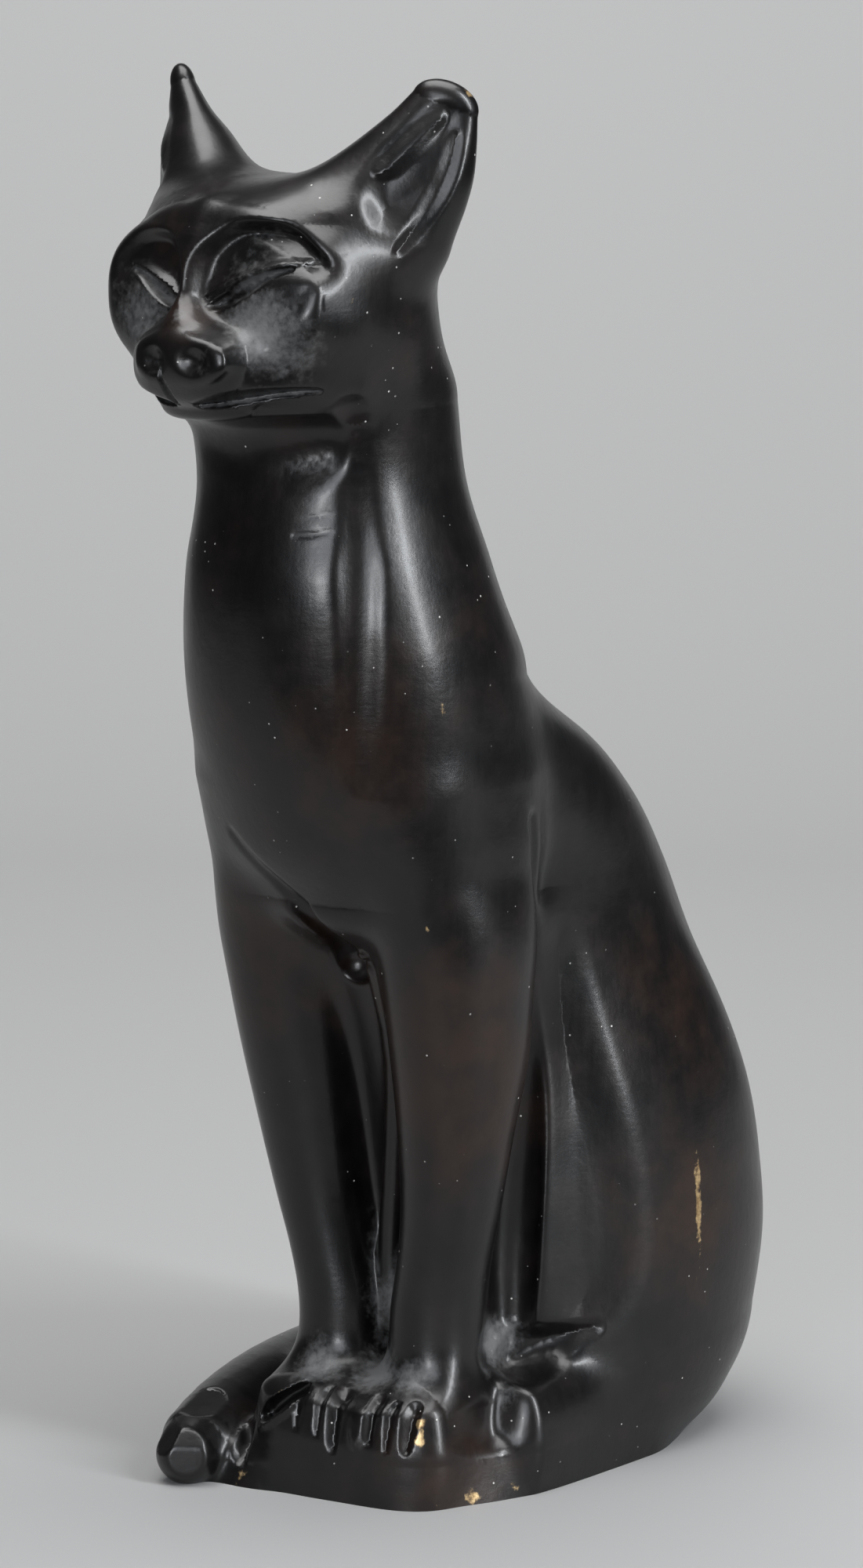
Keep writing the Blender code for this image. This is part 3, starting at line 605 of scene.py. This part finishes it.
def put(mesh, points):
    """Moves the vertices to these points, given in millimetres."""
    mesh.vertices.foreach_set("co", (points * UNIT).astype(np.float32).ravel())
    mesh.update()


def even_out(mesh, rounds, share=0.5):
    """Each vertex moves a share of the way to the mean of its neighbours."""
    ends = np.empty(len(mesh.edges) * 2, np.int32)
    mesh.edges.foreach_get("vertices", ends)
    a, b = ends.reshape(-1, 2).T
    count = np.bincount(ends, minlength=len(mesh.vertices))[:, None]
    for _ in range(rounds):
        points = coordinates(mesh)
        total = np.stack([
            np.bincount(a, points[b, i], len(points)) + np.bincount(b, points[a, i], len(points))
            for i in range(3)
        ], -1)
        put(mesh, points + share * (total / count - points))


def settle(mesh, rounds):
    """Newton steps along each vertex's normal until the distance is nothing."""
    for _ in range(rounds):
        points = coordinates(mesh)
        normals = np.empty(len(points) * 3, np.float32)
        mesh.vertex_normals.foreach_get("vector", normals)
        normals = normals.reshape(-1, 3).astype(float)
        here = surface(points)
        slope = (surface(points + 0.05 * normals) - here) / 0.05
        move = np.clip(here / np.maximum(slope, 0.35), -1.2, 1.2)
        put(mesh, points - move[:, None] * normals)


def finished(obj, kind, **settings):
    """The object's mesh after one modifier."""
    modifier = obj.modifiers.new(kind.title(), kind)
    for name, value in settings.items():
        setattr(modifier, name, value)
    graph = bpy.context.evaluated_depsgraph_get()
    graph.update()
    made = bpy.data.meshes.new_from_object(obj.evaluated_get(graph))
    obj.modifiers.clear()
    obj.data = made


PITCH = 0.45
FACES = 192000
lowest = np.min([piece.low for piece in wax], 0) - 1
highest = np.max([piece.high for piece in wax], 0) + 1
lowest[2] = -1.5
points, faces = netted(lowest, highest, PITCH)
mesh = bpy.data.meshes.new("bronze_cat")
mesh.from_pydata((points * UNIT).tolist(), [], faces.tolist())
cat = bpy.data.objects.new("bronze_cat", mesh)
bpy.context.scene.collection.objects.link(cat)
for _ in range(2):
    even_out(cat.data, 1)
    settle(cat.data, 1)
finished(cat, "DECIMATE", ratio=FACES / 2 / len(cat.data.vertices))
shape = bmesh.new()
shape.from_mesh(cat.data)
sliced = bmesh.ops.bisect_plane(
    shape, geom=shape.verts[:] + shape.edges[:] + shape.faces[:], plane_co=(0, 0, 0), plane_no=(0, 0, -1),
    clear_outer=True,
)
rim = [item for item in sliced["geom_cut"] if isinstance(item, bmesh.types.BMEdge)]
bmesh.ops.contextual_create(shape, geom=rim)
bmesh.ops.triangulate(shape, faces=shape.faces)
shape.to_mesh(cat.data)
shape.free()
cat.data.shade_smooth()

points = coordinates(cat.data)
slope = np.stack([surface(points + step) - surface(points - step) for step in 0.05 * np.eye(3)], -1)
outward = slope / np.linalg.norm(slope, axis=1)[:, None]
corners = np.empty(len(cat.data.loops), np.int32)
cat.data.loops.foreach_get("vertex_index", corners)
normals = outward[corners]
normals[(points[corners, 2].reshape(-1, 3).max(1) < 1e-3).repeat(3)] = (0, 0, -1)
cat.data.normals_split_custom_set(normals)

# THE PATINA
# Bronze under a dark brown-black patina, rubbed smooth by handling: redder where it is thin, matt
# and grey where dust sits in the hollows, and bare yellow metal on the most touched edges. The same
# pale grey, laid round the eyes and over the lower planes of the face, is painted sheen where the light
# falls.


class Shade:
    """A node's socket that takes part in Python arithmetic; each sum adds its Math node."""

    def __init__(self, tree, socket):
        self.tree, self.socket = tree, socket

    def node(self, kind, settings=(), inputs=(), output=0):
        """A new node of this type: its settings first, then the values or links of its sockets."""
        made = self.tree.nodes.new(kind)
        for name, value in dict(settings).items():
            if name == "stops":
                ramp = made.color_ramp
                while len(ramp.elements) < len(value):
                    ramp.elements.new(0.5)
                for element, (place, colour) in zip(ramp.elements, value):
                    element.position, element.color = place, (*colour, 1)
            else:
                setattr(made, name, value)
        for name, value in dict(inputs).items():
            if isinstance(value, Shade):
                self.tree.links.new(value.socket, made.inputs[name])
            else:
                made.inputs[name].default_value = value
        return Shade(self.tree, made.outputs[output])

    def math(self, operation, *values):
        """A Math node on these values."""
        return self.node("ShaderNodeMath", {"operation": operation}, dict(enumerate(values)))

    def __add__(self, other): return self.math("ADD", self, other)
    def __radd__(self, other): return self.math("ADD", other, self)
    def __sub__(self, other): return self.math("SUBTRACT", self, other)
    def __rsub__(self, other): return self.math("SUBTRACT", other, self)
    def __mul__(self, other): return self.math("MULTIPLY", self, other)
    def __rmul__(self, other): return self.math("MULTIPLY", other, self)
    def __truediv__(self, other): return self.math("DIVIDE", self, other)

    def step(self, low, high):
        """0 below low, 1 above high, and a smooth step between."""
        return self.node(
            "ShaderNodeMapRange", {"interpolation_type": "SMOOTHSTEP"}, {0: self, 1: low, 2: high},
        )

    def tint(self, below, above):
        """A colour between two, by this share."""
        def colour(c):
            return c if isinstance(c, Shade) else (*c, 1)
        return self.node(
            "ShaderNodeMix", {"data_type": "RGBA"}, {0: self, 6: colour(below), 7: colour(above)}, 2,
        )

    def noise(self, size, detail=3, rough=0.55, stretch=(1, 1, 1)):
        """Noise of about this size in metres, on these coordinates."""
        where = self.node("ShaderNodeMapping", {}, {0: self, 3: stretch})
        return self.node("ShaderNodeTexNoise", {}, {
            0: where, "Scale": 1 / size, "Detail": detail, "Roughness": rough,
        })


# Pinch is how much nearer the skin is outside a point than a flat one would be, as in hollows, and
# bulge is the same inside it, as along edges.
pinch = sum((h - surface(points + h * outward)) / h for h in (0.6, 1.5, 3.5)) / 3
bulge = sum((h + surface(points - h * outward)) / h for h in (0.5, 1.2)) / 2


def spots(places):
    """The largest of a set of soft balls, each (x, y, z, radius, strength)."""
    places = np.array(places, float)
    gap = np.linalg.norm(points[:, None] - places[:, :3], axis=2) / places[:, 3]
    return (places[:, 4] * np.exp(-gap**2)).max(1)


# The worn gold streak down the haunch, as a row of small balls.
streak = [(27.1, 26.3, height, 0.8, 0.95 - 0.05 * abs(height - 36)) for height in np.arange(24, 45, 0.7)]
rubbed = spots(streak + [
    (23.5, -27, 196.3, 1.2, 0.8), (26, -25, 193.5, 1.2, 0.8), (27.5, -25.5, 189, 1.2, 0.7),
    (13.8, -20.3, 12.3, 1.2, 0.9), (13.8, -20.3, 9.8, 1.0, 0.7), (17, -13.1, 1.0, 1.6, 0.8),
    (14, -18, 0.6, 2.0, 0.7),
    (-13.9, -24.9, 1.0, 1.8, 0.8), (18.6, -40.7, 166.7, 0.8, 0.75), (21.6, -25.2, 112.2, 1.0, 0.7),
    (18.1, -24.1, 82.1, 0.7, 0.7), (16.3, -19.3, 58.1, 0.7, 0.6), (19.7, -6.9, 1.6, 1.2, 0.7),
    (-20.5, -29, 199, 1.5, 0.6), (1, -53, 163.5, 1.0, 0.4),
])
# Real dust in the hollows, on the nose and paws; the three large balls on the face, round the eyes and over
# the lower planes under them, paint a pale sheen where the light falls.
dusty = spots([
    (9, -45, 163.0, 7.5, 1.1), (7, -47, 170, 6, 0.75), (-10, -45, 164, 8, 0.9), (5.2, -54, 159.3, 3, 0.5),
    (-2.4, -54, 159.1, 3, 0.5), (11.9, -0.2, 19.6, 4.5, 0.9), (3, -15.5, 17, 5, 1.0),
    (-6, -18, 17.5, 5, 0.9), (9, -15.5, 16.8, 4, 0.9), (17.1, -4, 13, 3, 0.7), (0, -52, 164.5, 2.2, 0.8),
    (-16.7, -26.1, 5, 3, 0.3), (-1, -8, 26, 7, 0.5),
])
reddish = spots([
    (16, -18, 62, 16, 0.9), (-14, -18, 76, 14, 0.8), (-4, -44, 176, 7, 0.3), (27, 26, 35, 14, 0.7),
    (14, -36, 106, 12, 0.6), (-16, -34, 106, 14, 0.6), (24, 28, 62, 12, 0.5), (17, -16, 2, 8, 0.8),
    (0, -52, 164, 4, 0.5),
])
places = {"pinch": pinch, "bulge": bulge, "rubbed": rubbed, "dusty": dusty, "reddish": reddish}
for name, values in places.items():
    cat.data.attributes.new(name, "FLOAT", "POINT").data.foreach_set("value", values.astype(np.float32))

patina = bpy.data.materials.new("bronze_patina")
patina.use_nodes = True
patina.node_tree.nodes.clear()
start = Shade(patina.node_tree, None)
where = start.node("ShaderNodeTexCoord", output=3)


def painted(name):
    """One of the cat's own attributes."""
    return start.node("ShaderNodeAttribute", {"attribute_name": name}, output=2)


broad = where.noise(0.022, 4, 0.6)
cloudy = where.noise(0.006, 5, 0.6)
speckled = where.noise(0.0011, 3, 0.6)
grain = where.noise(0.00035, 2, 0.5)
brushed = where.noise(0.0009, 3, 0.6, (1, 1, 0.12))
crossed = where.noise(0.0009, 3, 0.6, (0.2, 0.2, 1.4))

thin = (painted("reddish") * 0.8 + broad * 0.9 + cloudy * 0.5 - 0.62).step(0.0, 0.75)
# Pale grey dust in the hollows and specks, and on the face a painted pale sheen where the light falls.
dust_and_sheen = (painted("dusty") + painted("pinch") * 0.5 + speckled * 0.7 + cloudy * 0.5 - 1.0).step(0.0, 0.75)
bare = (painted("rubbed") + painted("bulge") * 0.25 + speckled * 0.7 + cloudy * 0.3 - 0.92).step(0.0, 0.28)
flecks = where.node("ShaderNodeTexVoronoi", {}, {0: where, "Scale": 420.0})
speck = (1 - flecks.step(0.04, 0.07)) * (broad + speckled - 0.95).step(0.0, 0.2)

dark = cloudy.step(0.35, 0.7).tint((0.0020, 0.0019, 0.0021), (0.0042, 0.0037, 0.0038))
brown = cloudy.step(0.3, 0.7).tint((0.0072, 0.0038, 0.0027), (0.0150, 0.0072, 0.0042))
metal = speckled.step(0.3, 0.7).tint((0.30, 0.19, 0.085), (0.62, 0.45, 0.24))
colour = thin.tint(dark, brown)
# Pale grey for dust, and on the face for painted sheen.
colour = (dust_and_sheen * 0.8).tint(colour, (0.13, 0.131, 0.132))
colour = bare.tint(colour, metal)
colour = speck.tint(colour, (0.45, 0.44, 0.42))

rough = 0.26 + 0.14 * cloudy + 0.10 * (brushed - 0.5) + 0.34 * dust_and_sheen + 0.10 * bare + 0.3 * speck
relief = 0.35 * brushed + 0.3 * crossed + 0.35 * speckled + 0.8 * dust_and_sheen * grain + 0.25 * grain
bump = start.node("ShaderNodeBump", {}, {"Strength": 0.16, "Distance": 0.0002, "Height": relief})
waves = start.node("ShaderNodeBump", {}, {
    "Strength": 0.16, "Distance": 0.0006, "Height": cloudy, "Normal": bump,
})

skin = patina.node_tree.nodes.new("ShaderNodeBsdfPrincipled")
skin.inputs["IOR"].default_value = 1.4
skin.inputs["Coat Weight"].default_value = 0.18
skin.inputs["Coat Roughness"].default_value = 0.18
finish = {"Base Color": colour, "Roughness": rough, "Metallic": 0.9 * bare, "Normal": waves}
for name, value in finish.items():
    patina.node_tree.links.new(value.socket, skin.inputs[name])
out = patina.node_tree.nodes.new("ShaderNodeOutputMaterial")
patina.node_tree.links.new(skin.outputs[0], out.inputs[0])
cat.data.materials.append(patina)

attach(cat, "root")
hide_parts("cat_statuette")

# THE TABLE AND BACKDROP
# One sheet of pale grey paper that lies flat under the cat and sweeps up behind it.

# The direction the paper runs away in is the one the camera looks along.
VIEW = math.radians(38)
run = np.linspace(0, 1, 60)
ground = np.column_stack([
    np.concatenate([np.linspace(-0.16, 0.5, 10), 0.5 + 0.5 * np.sin(run[1:] * np.pi / 2), np.full(4, 1.0)]),
    np.concatenate([np.zeros(10), 0.5 - 0.5 * np.cos(run[1:] * np.pi / 2), np.linspace(0.55, 0.7, 4)]),
])
wide = np.linspace(-0.55, 0.55, 9)
grid = np.stack([
    wide[None, :] * math.cos(VIEW) - ground[:, :1] * math.sin(VIEW),
    wide[None, :] * math.sin(VIEW) + ground[:, :1] * math.cos(VIEW),
    ground[:, 1:] + 0 * wide[None, :],
], -1)
rows, columns = grid.shape[:2]
corner = (np.arange(rows - 1)[:, None] * columns + np.arange(columns - 1)).ravel()
paper = bpy.data.meshes.new("backdrop")
squares = np.stack([corner, corner + 1, corner + columns + 1, corner + columns], -1)
paper.from_pydata(grid.reshape(-1, 3).tolist(), [], squares.tolist())
paper.shade_smooth()
backdrop = bpy.data.objects.new("backdrop", paper)
bpy.context.scene.collection.objects.link(backdrop)
card = bpy.data.materials.new("pale_paper")
card.use_nodes = True
card_face = card.node_tree.nodes["Principled BSDF"]
card_face.inputs["Base Color"].default_value = (0.268, 0.267, 0.266, 1)
card_face.inputs["Roughness"].default_value = 0.7
paper.materials.append(card)

# THE LIGHT AND CAMERA
# A wide soft box overhead, a tall narrow one on the picture's right, a box and a small lamp in front,
# and one on the backdrop, in a dim room. The camera has a long lens, a little above the cat's middle.

room = bpy.data.worlds.new("room")
room.use_nodes = True
room.node_tree.nodes["Background"].inputs[0].default_value = (0.84, 0.86, 0.90, 1)
room.node_tree.nodes["Background"].inputs[1].default_value = 0.07
bpy.context.scene.world = room


def soft_box(name, place, target, width, height, power, colour=(1, 1, 1)):
    """An area light at this place, turned so that it shines at the target."""
    light = bpy.data.lights.new(name, "AREA")
    light.shape = "RECTANGLE"
    light.size, light.size_y, light.energy, light.color = width, height, power, colour
    box = bpy.data.objects.new(name, light)
    bpy.context.scene.collection.objects.link(box)
    box.location = place
    aim = np.array(target, float) - place
    box.rotation_euler = (math.acos(-aim[2] / np.linalg.norm(aim)), 0, math.atan2(aim[0], -aim[1]) + math.pi)


soft_box("overhead", (0.05, -0.1, 1.15), (0, 0, 0), 1.0, 0.9, 21.0)
soft_box("right_box", (0.95, 0.00, 0.52), (0, 0, 0.14), 0.085, 1.0, 14.0, (0.94, 0.97, 1.0))
soft_box("front_box", (0.42, -0.92, 0.36), (0, 0, 0.12), 0.50, 0.55, 5.0, (0.90, 0.94, 1.0))
soft_box("lamp", (0.36, -0.93, 0.13), (0, 0, 0.12), 0.12, 0.14, 1.6, (0.96, 0.98, 1.0))
soft_box("back_box", (-0.35, 0.3, 0.9), (-0.6, 1.0, 0.55), 0.9, 0.5, 4.5)

lens = bpy.data.cameras.new("camera")
lens.lens = 125.7
camera = bpy.data.objects.new("camera", lens)
bpy.context.scene.collection.objects.link(camera)
DISTANCE = 0.750
eye = np.array((DISTANCE * math.sin(VIEW), -DISTANCE * math.cos(VIEW), 0.215))
aim = np.array((0, 0, 0.097)) - eye
camera.location = eye
camera.rotation_euler = (math.acos(-aim[2] / np.linalg.norm(aim)), 0, math.atan2(-aim[0], aim[1]))
bpy.context.scene.camera = camera
bpy.context.scene.view_settings.view_transform = "Standard"
